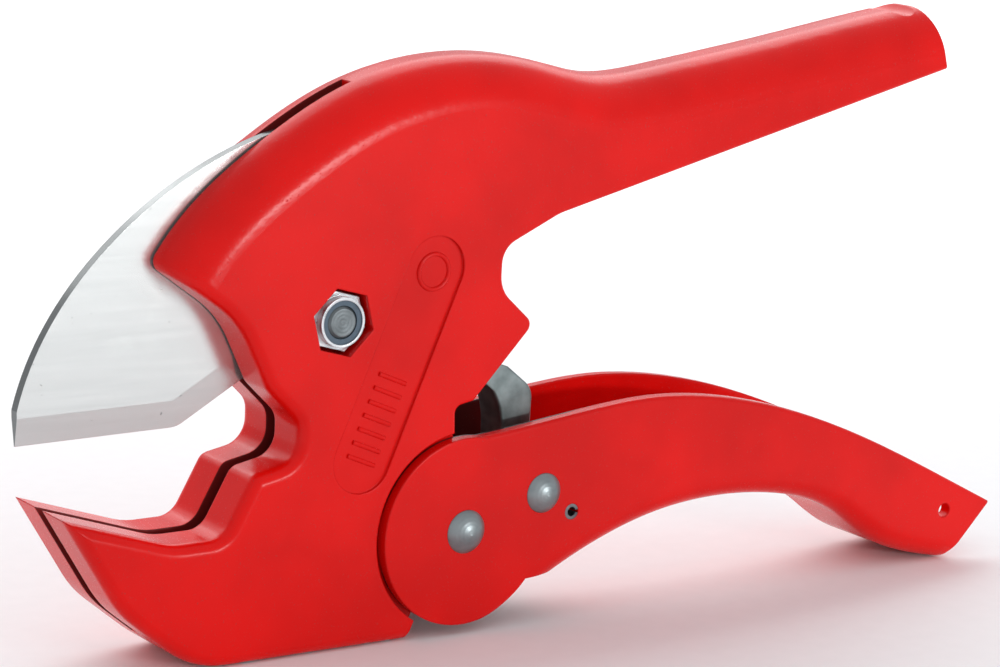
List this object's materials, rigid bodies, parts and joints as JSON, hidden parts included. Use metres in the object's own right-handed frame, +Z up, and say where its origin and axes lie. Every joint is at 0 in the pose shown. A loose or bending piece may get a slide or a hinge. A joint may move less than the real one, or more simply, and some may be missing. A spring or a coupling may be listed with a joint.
{
  "type": "ratchet pipe cutter",
  "caption": "Hand-held ratchet shear for plastic pipe: hooked jaw, swinging blade, sprung lever and pawl.",
  "frame": {"origin": "on the ground under the middle of the tool's bounding box, standing on its belly and lever tip", "axes": "+X back towards the handles, +Z up, -Y the nut's side"},
  "size_m": [0.2173, 0.027, 0.1126],
  "materials": {
    "red_enamel": "gloss enamel on a zinc or aluminium die casting",
    "red_enamel_lever": "gloss enamel on pressed steel",
    "blade_steel": "ground hardened steel, bright",
    "pawl_steel": "dark oil-blackened steel",
    "rivet_steel": "dull grey steel rivet",
    "sleeve_steel": "plain turned steel",
    "washer_steel": "spring steel shim",
    "pin_steel": "rolled spring steel",
    "bolt_zinc": "zinc-plated steel",
    "nut_zinc": "bright zinc-plated steel",
    "lock_ring_nylon": "nylon",
    "spring_wire": "drawn spring wire"
  },
  "bodies": {
    "casting": {"body_casting": "red_enamel", "pivot_bolt": "bolt_zinc", "pivot_nut": "nut_zinc", "nut_lock_ring": "lock_ring_nylon", "blade_washers": "washer_steel", "blade_spring": "spring_wire", "lever_sleeve": "sleeve_steel", "lever_spring": "spring_wire"},
    "blade": {"blade": "blade_steel"},
    "lever": {"lever": "red_enamel_lever", "lever_rivet": "rivet_steel", "pawl_rivet": "rivet_steel", "pawl_spacers": "sleeve_steel", "spring_pin": "pin_steel", "pawl_spring": "spring_wire"},
    "pawl": {"pawl": "pawl_steel"}
  },
  "joints": [
    {"name": "lever_squeeze", "type": "hinge", "parent": "casting", "child": "lever", "pos_m": [-0.0224, 0, 0.0195], "axis": [0, -1, 0], "range_deg": [0, 26], "stiffness_Nm_per_rad": 0.8, "springref_deg": -34.38, "deforming": ["lever_spring"]},
    {"name": "blade_swing", "type": "hinge", "parent": "casting", "child": "blade", "pos_m": [-0.0502, 0, 0.0602], "axis": [0, -1, 0], "range_deg": [-45, 34], "deforming": ["blade_spring"]},
    {"name": "pawl_swing", "type": "hinge", "parent": "lever", "child": "pawl", "pos_m": [-0.0053, 0, 0.025], "axis": [0, -1, 0], "range_deg": [-38, 0], "deforming": ["pawl_spring"]}
  ],
  "couplings": [
    {"joint": "pawl_swing", "follows": "lever_squeeze", "ratio": -1.444}
  ]
}
